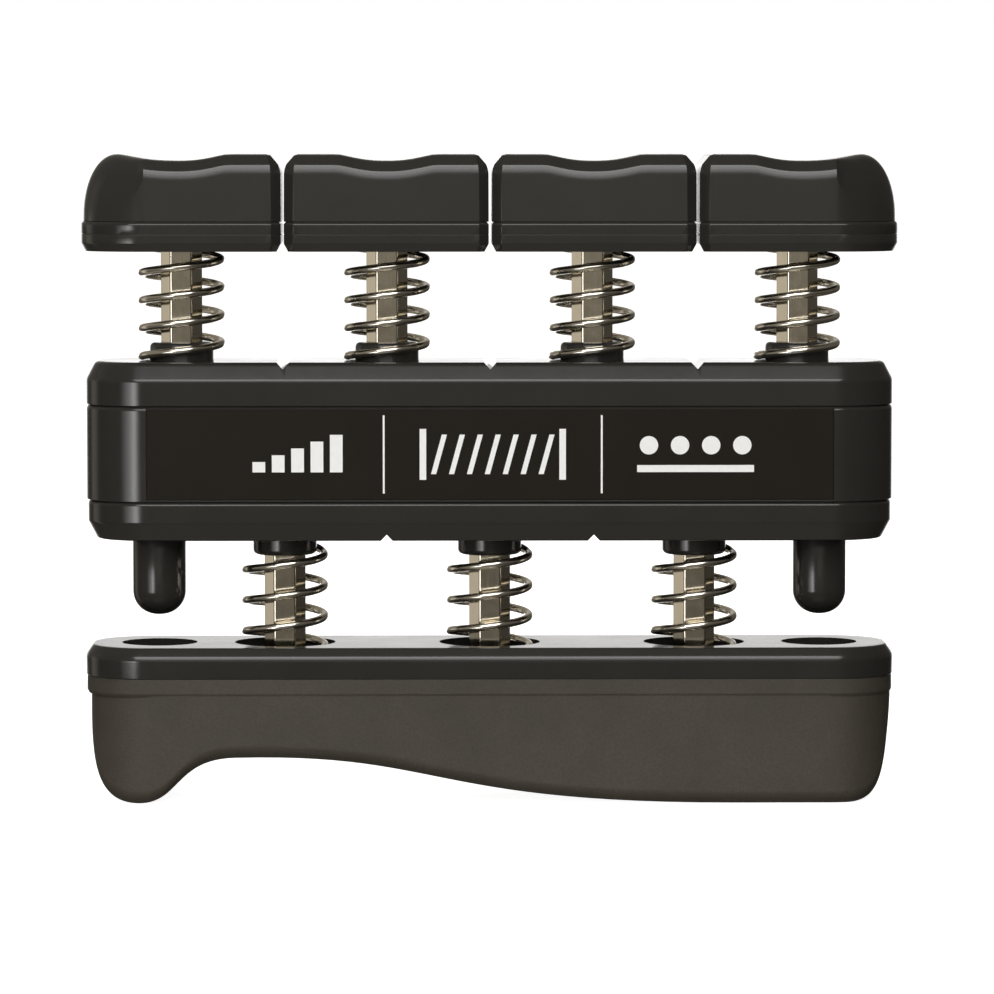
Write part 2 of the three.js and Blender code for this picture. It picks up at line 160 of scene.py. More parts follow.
def apply_modifiers(obj):
    """Turns the object's modifiers into its mesh."""
    depsgraph = bpy.context.evaluated_depsgraph_get()
    final = bpy.data.meshes.new_from_object(obj.evaluated_get(depsgraph))
    old = obj.data
    obj.modifiers.clear()
    obj.data = final
    bpy.data.meshes.remove(old)


def boolean(obj, other, operation):
    """Cuts or joins obj with another closed object, which is used up."""
    modifier = obj.modifiers.new("boolean", "BOOLEAN")
    modifier.operation = operation
    modifier.solver = "EXACT"
    modifier.object = other
    apply_modifiers(obj)
    bpy.data.objects.remove(other)


def cut(obj, *cutters):
    for cutter in cutters:
        boolean(obj, cutter, "DIFFERENCE")


def join(obj, *others):
    for other in others:
        boolean(obj, other, "UNION")


def finish_edges(obj, width, angle=28):
    """Rounds the edges sharper than the angle (degrees), and shades the rest smooth."""
    work = bmesh.new()
    work.from_mesh(obj.data)
    bmesh.ops.remove_doubles(work, verts=work.verts, dist=4e-6)
    bmesh.ops.dissolve_degenerate(work, edges=work.edges, dist=2e-6)
    work.to_mesh(obj.data)
    work.free()
    if width:
        bevel = obj.modifiers.new("bevel", "BEVEL")
        bevel.width = width
        bevel.segments = 3
        bevel.limit_method = "ANGLE"
        bevel.angle_limit = math.radians(angle)
        bevel.use_clamp_overlap = True
        bevel.harden_normals = False
    obj.data.shade_smooth()
    weighted = obj.modifiers.new("normals", "WEIGHTED_NORMAL")
    weighted.keep_sharp = True
    weighted.weight = 80
    apply_modifiers(obj)


def settle(obj, body, slot, *nodes):
    """Puts a finished piece on its body, in place of its CAD nodes."""
    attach(obj, body)
    if nodes:
        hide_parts(*nodes)


# ---- Plan outlines and lofts --------------------------------------------------------


def corner_points(x, half_depth, side, corner):
    """Points of the front corner at one end of a plan, from the end round to the front.

    side is -1 at the left end and 1 at the right. corner is (kind, size). Each point is
    (x, y, inward x, inward y), with the inward direction scaled so that moving every point
    by it keeps the sides parallel.
    """
    kind, size = corner
    points = []
    if kind == "round":
        for step in range(ARC_STEPS + 1):
            angle = step / ARC_STEPS * math.pi / 2
            nx, ny = side * math.cos(angle), -math.sin(angle)
            points.append((x - side * size + size * nx, -half_depth + size + size * ny, -nx, -ny))
    else:
        turn = math.tan(math.radians(22.5))
        points.append((x, -half_depth + size, -side, turn))
        points.append((x - side * size, -half_depth, -side * turn, 1))
    return points


def plan(x0, x1, half_depth, left, right):
    """Closed plan outline: along the front from left to right, then back along the rear.

    The point opposite point i is point n - 1 - i, which the lofts rely on for their caps.
    """
    front = corner_points(x0, half_depth, -1, left)
    steps = max(2, round((x1 - right[1] - x0 - left[1]) / STRAIGHT_STEP))
    for step in range(1, steps):
        front.append((mix(x0 + left[1], x1 - right[1], step / steps), -half_depth, 0, 1))
    front += reversed(corner_points(x1, half_depth, 1, right))
    return front + [(x, -y, inward_x, -inward_y) for x, y, inward_x, inward_y in reversed(front)]


def rounded_plan(x0, x1, half_depth, radius=CORNER):
    return plan(x0, x1, half_depth, ("round", radius), ("round", radius))


def ring(outline, inset, z):
    """One level of a loft. inset and z are numbers, or functions of an outline point."""
    points = []
    for point in outline:
        x, y, inward_x, inward_y = point
        move = inset(point) if callable(inset) else inset
        level = z(point) if callable(z) else z
        points.append((x + inward_x * move, y + inward_y * move, level))
    return points


def loft(name, rings, material):
    """Skins a stack of rings. Each end is closed by strips from its front to its rear."""
    count = len(rings[0])
    verts = [point for level in rings for point in level]
    faces = []
    for level in range(len(rings) - 1):
        start = level * count
        for i in range(count):
            j = (i + 1) % count
            faces.append((start + i, start + j, start + count + j, start + count + i))
    for start in (0, (len(rings) - 1) * count):
        for i in range(count // 2 - 1):
            faces.append((start + i, start + i + 1, start + count - 2 - i, start + count - 1 - i))
    return new_object(name, verts, faces, material)


def profile_rings(outline, profile):
    """Rings from a list of (inset, z) pairs."""
    return [ring(outline, inset, z) for inset, z in profile]


def rounded_profile(points, radii, steps=5):
    """(inset, z) pairs with each inner corner rounded by its radius."""
    result = [points[0]]
    for before, here, after, radius in zip(points, points[1:], points[2:], radii):
        a, b, c = Vector(before), Vector(here), Vector(after)
        to_a, to_c = (a - b).normalized(), (c - b).normalized()
        opening = to_a.angle(to_c)
        reach = min(radius / math.tan(opening / 2), (a - b).length * 0.49, (c - b).length * 0.49)
        start, end = b + to_a * reach, b + to_c * reach
        for step in range(steps + 1):
            t = step / steps
            result.append(tuple(mix(mix(start, b, t), mix(b, end, t), t)))
    result.append(points[-1])
    return result


def turned(name, profile, x, sides, material):
    """Closed body turned about a vertical axis from (radius, z) pairs, both ends on the axis."""
    verts = []
    faces = []
    for radius, z in profile:
        for i in range(sides):
            angle = i / sides * 2 * math.pi
            verts.append((x + radius * math.cos(angle), radius * math.sin(angle), z))
    for level in range(len(profile) - 1):
        start = level * sides
        for i in range(sides):
            j = (i + 1) % sides
            faces.append((start + i, start + j, start + sides + j, start + sides + i))
    faces.append(tuple(range(sides)))
    faces.append(tuple(range((len(profile) - 1) * sides, len(profile) * sides)))
    return new_object(name, verts, faces, material)


def rod(x, radius, z0, z1):
    """Round cutter."""
    return turned("rod", [(radius, z0), (radius, z1)], x, 64, None)


def hexagon(x, across_flats, z0, z1):
    """Hexagonal cutter with one flat facing the viewer."""
    return turned("hexagon", [(across_flats / math.sqrt(3), z) for z in (z0, z1)], x, 6, None)


def slab(x0, x1, y0, y1, z0, z1):
    """Plain block."""
    corners = [(x, y, z) for z in (z0, z1) for x, y in ((x0, y0), (x1, y0), (x1, y1), (x0, y1))]
    faces = [(0, 1, 2, 3), (4, 5, 6, 7), (0, 1, 5, 4), (1, 2, 6, 5), (2, 3, 7, 6), (3, 0, 4, 7)]
    return new_object("slab", corners, faces, None)


# ---- Materials ----------------------------------------------------------------------


class Nodes:
    """Short way to build a node material round one Principled shader."""

    def __init__(self, name):
        self.material = bpy.data.materials.new(name)
        self.material.use_nodes = True
        self.tree = self.material.node_tree
        self.shader = self.tree.nodes["Principled BSDF"]

    def set(self, **values):
        for key, value in values.items():
            self.shader.inputs[key.replace("_", " ")].default_value = value

    def add(self, kind, **settings):
        node = self.tree.nodes.new(kind)
        for key, value in settings.items():
            if key in node.inputs:
                node.inputs[key].default_value = value
            else:
                setattr(node, key, value)
        return node

    def link(self, output, target):
        self.tree.links.new(output, target)

    def coordinates(self, scale=(1, 1, 1)):
        position = self.add("ShaderNodeTexCoord")
        mapping = self.add("ShaderNodeMapping")
        mapping.inputs["Scale"].default_value = scale
        self.link(position.outputs["Object"], mapping.inputs["Vector"])
        return mapping.outputs["Vector"]

    def noise(self, vector, scale, detail=3.0, roughness=0.5):
        node = self.add("ShaderNodeTexNoise", Scale=scale, Detail=detail, Roughness=roughness)
        self.link(vector, node.inputs["Vector"])
        return node.outputs["Fac"]

    def ramp(self, factor, low, high, low_at=0.0, high_at=1.0):
        """Maps a factor to a range of values."""
        node = self.add("ShaderNodeMapRange")
        self.link(factor, node.inputs["Value"])
        node.inputs["From Min"].default_value = low_at
        node.inputs["From Max"].default_value = high_at
        node.inputs["To Min"].default_value = low
        node.inputs["To Max"].default_value = high
        return node.outputs["Result"]

    def math(self, operation, a, b):
        node = self.add("ShaderNodeMath")
        node.operation = operation
        for socket, value in zip(node.inputs, (a, b)):
            if isinstance(value, (int, float)):
                socket.default_value = value
            else:
                self.link(value, socket)
        return node.outputs["Value"]

    def colours(self, factor, first, second):
        """Base colour that varies between two colours."""
        node = self.add("ShaderNodeMix")
        node.data_type = "RGBA"
        for socket in node.inputs:
            if socket.name == "A" and socket.type == "RGBA":
                socket.default_value = (*first, 1)
            if socket.name == "B" and socket.type == "RGBA":
                socket.default_value = (*second, 1)
        self.link(factor, node.inputs["Factor"])
        blended = next(output for output in node.outputs if output.type == "RGBA")
        self.link(blended, self.shader.inputs["Base Color"])

    def roughness(self, value):
        self.link(value, self.shader.inputs["Roughness"])

    def bumps(self, *layers):
        """Stacks bump layers of (height, distance, strength)."""
        normal = None
        for height, distance, strength in layers:
            node = self.add("ShaderNodeBump", Distance=distance, Strength=strength)
            self.link(height, node.inputs["Height"])
            if normal:
                self.link(normal, node.inputs["Normal"])
            normal = node.outputs["Normal"]
        self.link(normal, self.shader.inputs["Normal"])


def gloss_black():
    """Polished black moulding: faint flow ripple, and very fine handling marks."""
    n = Nodes("gloss_black")
    place = n.coordinates()
    ripple = n.noise(place, 240, detail=2)
    marks = n.noise(n.coordinates((900, 2600, 5200)), 1.0, detail=4, roughness=0.7)
    haze = n.noise(place, 130, detail=5, roughness=0.6)
    n.set(Specular_IOR_Level=0.5, IOR=1.49)
    n.colours(haze, (0.0205, 0.0200, 0.0180), (0.0275, 0.0269, 0.0245))
    n.roughness(n.math("ADD", n.ramp(haze, 0.12, 0.20), n.ramp(marks, 0.0, 0.10, 0.60, 0.82)))
    n.bumps((ripple, 0.02 * MM, 0.35), (marks, 0.002 * MM, 0.25))
    return n.material


def grip_grey():
    """Matt moulding with a fine spark-eroded grain and slight unevenness in its colour."""
    n = Nodes("grip_grey")
    place = n.coordinates()
    grain = n.noise(place, 3400, detail=4, roughness=0.7)
    pits = n.add("ShaderNodeTexVoronoi", Scale=3600)
    n.link(place, pits.inputs["Vector"])
    cloud = n.noise(place, 95, detail=6, roughness=0.62)
    n.set(Specular_IOR_Level=0.42)
    speckle = n.math("MULTIPLY", cloud, n.ramp(grain, 0.55, 1.45, 0.3, 0.7))
    n.colours(speckle, (0.0350, 0.0302, 0.0236), (0.0800, 0.0692, 0.0545))
    n.roughness(n.ramp(grain, 0.52, 0.72))
    n.bumps((grain, 0.030 * MM, 0.75), (pits.outputs["Distance"], 0.020 * MM, 0.5))
    return n.material


def label_film():
    """Satin printed film, brown-black."""
    n = Nodes("label_film")
    place = n.coordinates()
    haze = n.noise(place, 160, detail=4)
    weave = n.noise(n.coordinates((1, 1, 7)), 2600, detail=2)
    n.set(Specular_IOR_Level=0.2)
    n.colours(haze, (0.0105, 0.0082, 0.0048), (0.0143, 0.0114, 0.0072))
    n.roughness(n.ramp(weave, 0.30, 0.42))
    n.bumps((weave, 0.004 * MM, 0.4),)
    return n.material


def print_ink():
    """White screen-printed ink."""
    n = Nodes("print_ink")
    patch = n.noise(n.coordinates(), 2200, detail=3)
    n.set(Specular_IOR_Level=0.35)
    n.colours(patch, (0.88, 0.88, 0.87), (0.96, 0.96, 0.95))
    n.roughness(n.ramp(patch, 0.42, 0.58))
    n.bumps((patch, 0.004 * MM, 0.4),)
    return n.material


def nickel(name, streaks, roughness, dull, bright):
    """Bright nickel plate over drawn steel.

    streaks stretches the drawing marks, roughness is (lowest, highest), and the colour varies
    from dull to bright.
    """
    n = Nodes(name)
    drawn = n.noise(n.coordinates(streaks), 1.0, detail=4, roughness=0.65)
    spots = n.noise(n.coordinates(), 700, detail=5, roughness=0.6)
    n.set(Metallic=1.0)
    n.colours(spots, dull, bright)
    n.roughness(n.ramp(n.math("MULTIPLY", drawn, spots), *roughness, 0.15, 0.45))
    n.bumps((drawn, 0.004 * MM, 0.45), (spots, 0.003 * MM, 0.3))
    return n.material


def spring_steel():
    """Dark blued steel of the retaining clips."""
    n = Nodes("spring_steel")
    spots = n.noise(n.coordinates(), 900, detail=5)
    n.set(Metallic=1.0)
    n.colours(spots, (0.20, 0.19, 0.175), (0.34, 0.325, 0.30))
    n.roughness(n.ramp(spots, 0.30, 0.48))
    n.bumps((spots, 0.006 * MM, 0.4),)
    return n.material


BLACK = gloss_black()
GRIP = grip_grey()
LABEL = label_film()
INK = print_ink()
POST_NICKEL = nickel("post_nickel", (5200, 5200, 160), (0.08, 0.20),
                     (0.66, 0.605, 0.500), (0.80, 0.750, 0.645))
WIRE_NICKEL = nickel("wire_nickel", (900, 900, 900), (0.13, 0.26),
                     (0.80, 0.750, 0.655), (0.93, 0.890, 0.800))
CLIP_STEEL = spring_steel()


# ---- Finger buttons -----------------------------------------------------------------


def dip(x, centre, side):
    """How far the finger dip lowers the top of a button at x: a trough with soft shoulders.

    Towards the end of the row it runs out into the domed end.
    """
    outward = (x - centre) * side > 0
    t = abs(x - centre) / (OUTER_DIP_REACH if outward else DIP_REACH)
    return DIP_DEPTH * (1 - t ** 2.4) ** 1.5 if t < 1 else 0.0


def button_ends(number):
    """Corner kinds of a button, left and right: round at the ends of the row."""
    chamfer = ("chamfer", END_CHAMFER)
    left = ("round", CORNER) if number == 1 else chamfer
    right = ("round", CORNER) if number == BUTTON_COUNT else chamfer
    return left, right


def outer_side(number):
    """-1 or 1 for the side of a button that ends the row, and 0 for none."""
    return {1: -1, BUTTON_COUNT: 1}.get(number, 0)


def button_plan(number, low, high):
    """Plan of one layer of a button.

    Its inner ends come a little closer to the next button than the ends of its CAD node do,
    which narrows the slit between the two.
    """
    x0 = low.x - (0 if number == 1 else SLIT_TRIM)
    x1 = high.x + (0 if number == BUTTON_COUNT else SLIT_TRIM)
    return plan(x0, x1, (high.y - low.y) / 2, *button_ends(number))


def button_cap(number):
    """Cap with a finger dip, a chamfer that follows it and, on caps 1 and 4, a domed outer end."""
    low, high = low_high(f"finger_button_cap_{number}")
    foot = low_high(f"finger_button_base_{number}")[1].z + TOUCH
    centre = post_x("upper", number)
    side = outer_side(number)
    outline = button_plan(number, low, high)

    def endness(point):
        """0 on the front, rear and inner end, rising to 1 at the tip of the row."""
        return max(0.0, -point[2] * side) ** 0.5

    def level(step):
        """Inset and height of one step up the edge, as functions of an outline point."""
        edge = EDGE_PROFILE[step]
        dome = DOME_PROFILE[step]

        def inset(point):
            facing = max(0.0, -point[2] * side)
            lean = CORNER_LEAN * (4 * facing * (1 - facing)) ** 0.75 * (high.z - foot - dome[1])
            return mix(edge[0], dome[0], endness(point)) + lean + DRAFT * point[3] ** 2

        def z(point):
            x = point[0] + point[2] * inset(point)
            return high.z - dip(x, centre, side) - mix(edge[1], dome[1], endness(point))

        return inset, z

    rings = [ring(outline, 0.04 * MM, foot), ring(outline, 0.0, foot + 0.04 * MM)]
    for step in range(len(EDGE_PROFILE)):
        rings.append(ring(outline, *level(step)))
    cap = loft(f"button_cap_{number}", rings, BLACK)
    pocket_top = low_high(f"upper_spring_{number}")[1].z + SEAT_PLAY
    post_top = low_high(f"upper_post_{number}")[1].z
    cut(cap, rod(centre, POCKET_RADIUS, foot - MM, pocket_top),
        hexagon(centre, ACROSS_FLATS + SOCKET_PLAY, foot - MM, post_top + 0.1 * MM))
    finish_edges(cap, width=0.13 * MM)
    settle(cap, f"button_{number}", "gloss_black", f"finger_button_cap_{number}")


def edge_profile():
    """(inset, drop) pairs up the edge of a cap: the face leans in, then a flat chamfer."""
    lean = math.tan(math.radians(24))
    foot, height, steps = 2.25 * MM, 1.2 * MM, 10
    pairs = []
    for step in range(steps + 1):
        t = step / steps
        pairs.append((height * lean * t * t / 2, foot - height * t))
    start = pairs[-1]
    top = [start, (start[0] + 0.8 * MM, 0.12 * MM), (start[0] + 1.25 * MM, 0.0)]
    return pairs + rounded_profile(top, (0.35 * MM,), steps=4)[1:]


def dome_profile(count):
    """The same number of pairs over the domed end: a quarter of an ellipse."""
    wide, high = 3.6 * MM, 6.5 * MM
    pairs = []
    for step in range(count):
        angle = step / (count - 1) * math.pi / 2
        pairs.append((wide * (1 - math.cos(angle)), high * (1 - math.sin(angle))))
    return pairs


EDGE_PROFILE = edge_profile()
DOME_PROFILE = dome_profile(len(EDGE_PROFILE))


def button_base(number):
    """Base plate under a cap, with a fine parting line and a rounded lower edge."""
    low, high = low_high(f"finger_button_base_{number}")
    outline = button_plan(number, low, high)
    line = mix(low.z, high.z, 0.58)
    lower_edge = low.z + 0.85 * MM
    points = [
        (0.45 * MM, low.z), (0.0, lower_edge), (0.0, line - 0.06 * MM), (0.05 * MM, line),
        (0.0, line + 0.06 * MM), (0.0, high.z - 0.24 * MM), (0.20 * MM, high.z),
    ]
    radii = (0.3 * MM, 0.02 * MM, 0.03 * MM, 0.02 * MM, 0.3 * MM)
    profile = rounded_profile(points, radii)
    base = loft(f"button_base_{number}", profile_rings(outline, profile), BLACK)
    cut(base, rod(post_x("upper", number), POCKET_RADIUS, low.z - MM, high.z + MM))
    finish_edges(base, width=0.13 * MM)
    settle(base, f"button_{number}", "gloss_black", f"finger_button_base_{number}")


# ---- Housing ------------------------------------------------------------------------


def sleeve(x, z0, z1, rounded_end):
    """Guide sleeve with one softened end: 1 at its top, -1 at its bottom."""
    end = z1 if rounded_end > 0 else z0
    other = z0 if rounded_end > 0 else z1
    profile = [(SLEEVE_RADIUS, other), (SLEEVE_RADIUS, end - rounded_end * SLEEVE_ROUND)]
    for step in range(1, 9):
        angle = step / 8 * math.pi / 2
        profile.append((SLEEVE_RADIUS - SLEEVE_ROUND * (1 - math.cos(angle)),
                        end - rounded_end * SLEEVE_ROUND * (1 - math.sin(angle))))
    return turned("sleeve", profile, x, 72, None)


def groove(x, z, direction, half_depth):
    """V cutter along Y whose point reaches into a face at z that looks in the direction."""
    rise = direction * GROOVE_DEPTH
    reach = half_depth + MM
    verts = []
    for y in (-reach, reach):
        verts.append((x, y, z - rise))
        verts.append((x + GROOVE_WIDTH, y, z + rise))
        verts.append((x - GROOVE_WIDTH, y, z + rise))
    faces = [(0, 1, 2), (3, 4, 5), (0, 1, 4, 3), (1, 2, 5, 4), (2, 0, 3, 5)]
    return new_object("groove", verts, faces, None)


def post_x(level, number):
    low, high = low_high(f"{level}_post_{number}")
    return (low.x + high.x) / 2


def peg_x(side):
    low, high = low_high(f"guide_peg_{side}")
    return (low.x + high.x) / 2


def inner_block(low, high, z0, z1):
    """The space inside a housing section, to be cut out of it."""
    half_depth = (high.y - low.y) / 2 - WALL
    outline = rounded_plan(low.x + WALL, high.x - WALL, half_depth, CORNER - WALL)
    return loft("inner_block", [ring(outline, 0, z0), ring(outline, 0, z1)], None)


def upper_cap():
    """Top of the housing, with a groove under each gap between buttons and four sleeves."""
    low, high = low_high("housing_upper_cap")
    seam = low_high("housing_centre")[1].z + TOUCH
    sleeve_top = high.z
    top = low_high("upper_spring_1")[0].z - SEAT_PLAY
    half_depth = (high.y - low.y) / 2
    points = [
        (0.05 * MM, seam), (0.0, seam + 0.05 * MM), (0.0, top - CHAMFER_HIGH),
        (CHAMFER_IN, top), (CHAMFER_IN + MM, top),
    ]
    profile = rounded_profile(points, (0.03 * MM, 0.8 * MM, 0.8 * MM))
    cap = loft("housing_upper_cap_shell",
               profile_rings(rounded_plan(low.x, high.x, half_depth), profile), BLACK)
    cut(cap, inner_block(low, high, seam - MM, top - PLATE))
    for x in (-1, 0, 1):
        cut(cap, groove(x * PITCH, top, 1, half_depth))
    sleeve_bottom = low_high("upper_clip_1")[1].z + 0.1 * MM
    for number in range(1, BUTTON_COUNT + 1):
        x = post_x("upper", number)
        join(cap, sleeve(x, sleeve_bottom, sleeve_top, 1))
        cut(cap, hexagon(x, ACROSS_FLATS + SLIDE_PLAY, sleeve_bottom - MM, sleeve_top + MM))
    finish_edges(cap, width=0.10 * MM)
    settle(cap, "housing", "gloss_black", "housing_upper_cap")


def centre_section():
    """Middle of the housing, with the recess for the label."""
    low, high = low_high("housing_centre")
    half_depth = (high.y - low.y) / 2
    points = [
        (0.05 * MM, low.z), (0.0, low.z + 0.05 * MM),
        (0.0, high.z - 0.34 * MM), (0.26 * MM, high.z),
    ]
    profile = rounded_profile(points, (0.03 * MM, 0.45 * MM))
    section = loft("housing_centre_shell",
                   profile_rings(rounded_plan(low.x, high.x, half_depth), profile), BLACK)
    label_low, label_high = low_high("front_label")
    edge = 0.06 * MM
    cut(section, inner_block(low, high, low.z - MM, high.z + MM),
        slab(label_low.x - edge, label_high.x + edge, -half_depth - MM, -half_depth + LABEL_RECESS,
             label_low.z - edge, label_high.z + edge))
    finish_edges(section, width=0.06 * MM)
    settle(section, "housing", "gloss_black", "housing_centre")


def lower_cap():
    """Bottom of the housing, with two grooves, three sleeves and the seats of the pegs."""
    low, high = low_high("housing_lower_cap")
    seam = low_high("housing_centre")[0].z - TOUCH
    bottom = seam - LOWER_CAP_HEIGHT
    half_depth = (high.y - low.y) / 2
    points = [
        (CHAMFER_IN + MM, bottom), (CHAMFER_IN, bottom), (0.0, bottom + CHAMFER_HIGH),
        (0.0, seam - 0.3 * MM), (0.24 * MM, seam),
    ]
    profile = rounded_profile(points, (0.4 * MM, 0.6 * MM, 0.4 * MM))
    cap = loft("housing_lower_cap_shell",
               profile_rings(rounded_plan(low.x, high.x, half_depth), profile), BLACK)
    cut(cap, inner_block(low, high, bottom + PLATE, seam + MM))
    for x in (-0.5, 0.5):
        cut(cap, groove(x * PITCH, bottom, -1, half_depth))
    seat = low_high("lower_spring_1")[1].z + SEAT_PLAY
    sleeve_top = low_high("lower_clip_1")[0].z - 0.1 * MM
    for number in range(1, PALM_POST_COUNT + 1):
        x = post_x("lower", number)
        cut(cap, rod(x, POCKET_RADIUS, bottom - MM, seat))
        join(cap, sleeve(x, low.z, sleeve_top, -1))
        cut(cap, hexagon(x, ACROSS_FLATS + SLIDE_PLAY, low.z - MM, sleeve_top + MM))
    for side in ("left", "right"):
        peg_low, peg_high = low_high(f"guide_peg_{side}")
        hole = SPIGOT_SHARE * (peg_high.x - peg_low.x) / 2 + SPIGOT_PLAY
        cut(cap, rod(peg_x(side), hole, bottom - MM, peg_high.z + SPIGOT_PLAY))
    finish_edges(cap, width=0.10 * MM)
    settle(cap, "housing", "gloss_black", "housing_lower_cap")


def guide_peg(side):
    """Round-nosed peg with a narrower spigot that is fixed in the lower cap."""
    node = f"guide_peg_{side}"
    low, high = low_high(node)
    x = peg_x(side)
    radius = (high.x - low.x) / 2
    shoulder = low_high("housing_lower_cap")[0].z + PEG_SHOULDER
    spigot = SPIGOT_SHARE * radius
    nose = 2.6 * MM
    profile = []
    for step in range(15):
        angle = step / 14 * math.pi / 2
        profile.append((max(0.02 * MM, radius * math.sin(angle) ** 0.9),
                        low.z + nose * (1 - math.cos(angle))))
    profile += [(radius, shoulder), (spigot, shoulder), (spigot, high.z)]
    peg = turned(f"peg_{side}", profile, x, 96, BLACK)
    finish_edges(peg, width=0)
    settle(peg, "housing", "gloss_black", node)


def front_label():
    """Printed film in its recess, and the generic marks printed on it."""
    low, high = low_high("front_label")
    film = slab(low.x, high.x, low.y, high.y, low.z, high.z)
    film.name = "label_film"
    film.data.materials.append(LABEL)
    finish_edges(film, width=0.05 * MM)
    settle(film, "housing", "label", "front_label")
    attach(printed_marks(low, high), "housing")


# ---- Posts and springs --------------------------------------------------------------


def post(level, number):
    """Hexagonal post with crisp, slightly broken edges and a turned neck for its clip."""
    node = f"{level}_post_{number}"
    low, high = low_high(node)
    x = (low.x + high.x) / 2
    clip_low, clip_high = low_high(f"{level}_clip_{number}")
    corner = ACROSS_FLATS / math.sqrt(3)
    profile = [
        (corner - 0.35 * MM, low.z), (corner, low.z + 0.3 * MM),
        (corner, high.z - 0.3 * MM), (corner - 0.35 * MM, high.z),
    ]
    body = turned(f"{level}_hex_post_{number}", profile, x, 6, POST_NICKEL)
    neck = rod(x, 2 * corner, clip_low.z - CLIP_PLAY, clip_high.z + CLIP_PLAY)
    cut(neck, rod(x, NECK_RADIUS, clip_low.z - MM, clip_high.z + MM))
    cut(body, neck)
    finish_edges(body, width=0.15 * MM)
    settle(body, "palm" if level == "lower" else f"button_{number}", "nickel", node)


def spring(level, number, lead, active, tail, phase, top_pitch=1.0):
    """Round wire wound right-handed, with flat ends of lead and tail turns.

    The active turns lie between them. top_pitch stretches the last part turn before the tail,
    where the wire climbs into its seat behind the sleeve.
    """
    node = f"{level}_spring_{number}"
    low, high = low_high(node)
    x = post_x(level, number)
    z0, z1 = low.z + WIRE / 2, high.z - WIRE / 2
    turns = lead + active + tail
    radius = SPRING_RADIUS - WIRE / 2
    steps = round(turns * STEPS_PER_TURN)
    foot = z0 + CLOSED_PITCH * math.floor(lead)
    head = z1 - CLOSED_PITCH * math.floor(tail)
    even = active - TOP_CLIMB
    pitch = (head - foot) / (even + TOP_CLIMB * top_pitch)
    climb = [0, lead, lead + even, lead + active, turns]
    levels = [z0, foot, foot + pitch * even, head, z1]

    def height(turn):
        return float(np.interp(turn, climb, levels))

    def slope(turn):
        """Rise per radian at a turn."""
        above, below = height(min(turns, turn + 0.01)), height(max(0, turn - 0.01))
        return (above - below) / (0.02 * 2 * math.pi)

    verts = []
    for step in range(steps + 1):
        turn = turns * step / steps
        angle = (turn + phase) * 2 * math.pi
        z = height(turn)
        outward = Vector((math.cos(angle), math.sin(angle), 0))
        tangent = Vector((-radius * math.sin(angle), radius * math.cos(angle), slope(turn)))
        tangent.normalize()
        up = tangent.cross(outward).normalized()
        end_share = min(step, steps - step)
        thickness = WIRE / 2 * (1 if end_share else 0.9)
        for side in range(WIRE_SIDES):
            around = side / WIRE_SIDES * 2 * math.pi
            offset = (outward * math.cos(around) + up * math.sin(around)) * thickness
            verts.append(Vector((x, 0, z)) + outward * radius + offset)
    faces = []
    for step in range(steps):
        start = step * WIRE_SIDES
        for side in range(WIRE_SIDES):
            following = (side + 1) % WIRE_SIDES
            faces.append((start + side, start + following,
                          start + WIRE_SIDES + following, start + WIRE_SIDES + side))
    faces.append(tuple(range(WIRE_SIDES)))
    faces.append(tuple(range(steps * WIRE_SIDES, (steps + 1) * WIRE_SIDES)))
    wire = new_object(f"{level}_coil_{number}", verts, faces, WIRE_NICKEL)
    wire.data.shade_smooth()
    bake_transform(wire)
    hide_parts(node)


# ---- Palm base ----------------------------------------------------------------------


def palm_plate():
    """Black plate on the grip, with holes for the springs and the pegs."""
    low, high = low_high("palm_plate")
    grip_top = low_high("palm_grip")[1].z + TOUCH
    half_depth = (high.y - low.y) / 2
    points = [
        (0.08 * MM, grip_top), (0.04 * MM, grip_top + 0.06 * MM), (0.0, high.z - PLATE_CHAMFER),
        (0.75 * MM, high.z), (1.5 * MM, high.z),
    ]
    profile = rounded_profile(points, (0.04 * MM, 1.2 * MM, 0.3 * MM))
    plate = loft("palm_plate_shell",
                 profile_rings(rounded_plan(low.x, high.x, half_depth), profile), BLACK)
    for number in range(1, PALM_POST_COUNT + 1):
        cut(plate, rod(post_x("lower", number), POCKET_RADIUS, low.z - MM, high.z + MM))
    for side in ("left", "right"):
        cut(plate, rod(peg_x(side), PEG_HOLE_RADIUS, low.z - MM, high.z + MM))
    finish_edges(plate, width=0.12 * MM)
    settle(plate, "palm", "gloss_black", "palm_plate")


def bezier(points, steps):
    """Points along a chain of cubic curves given as start, control, control, end, ..."""
    result = [points[0]]
    for first in range(0, len(points) - 1, 3):
        a, b, c, d = (Vector(p) for p in points[first:first + 4])
        for step in range(1, steps + 1):
            t = step / steps
            ab, bc, cd = mix(a, b, t), mix(b, c, t), mix(c, d, t)
            result.append(tuple(mix(mix(ab, bc, t), mix(bc, cd, t), t)))
    return result


def grip_underside():
    """Front view of the grip's lower edge, from the left end to the right, as (x, z)."""
    points = [
        (-42.78, 12.3), (-42.78, 10.5), (-42.78, 8.6), (-42.72, 6.9),
        (-42.45, 3.0), (-41.6, 0.0), (-37.6, 0.0),
        (-33.0, 0.0), (-33.7, 4.75), (-27.2, 4.88),
        (-5.0, 5.4), (-7.0, 0.0), (26.0, 0.0),
        (30.0, 0.0), (34.0, 0.0), (38.0, 0.0),
        (41.0, 0.0), (41.9, 1.6), (42.45, 5.2),
        (42.75, 7.4), (43.05, 9.6), (43.1, 12.3),
    ]
    return [(x * MM, z * MM) for x, z in bezier(points, 26)]


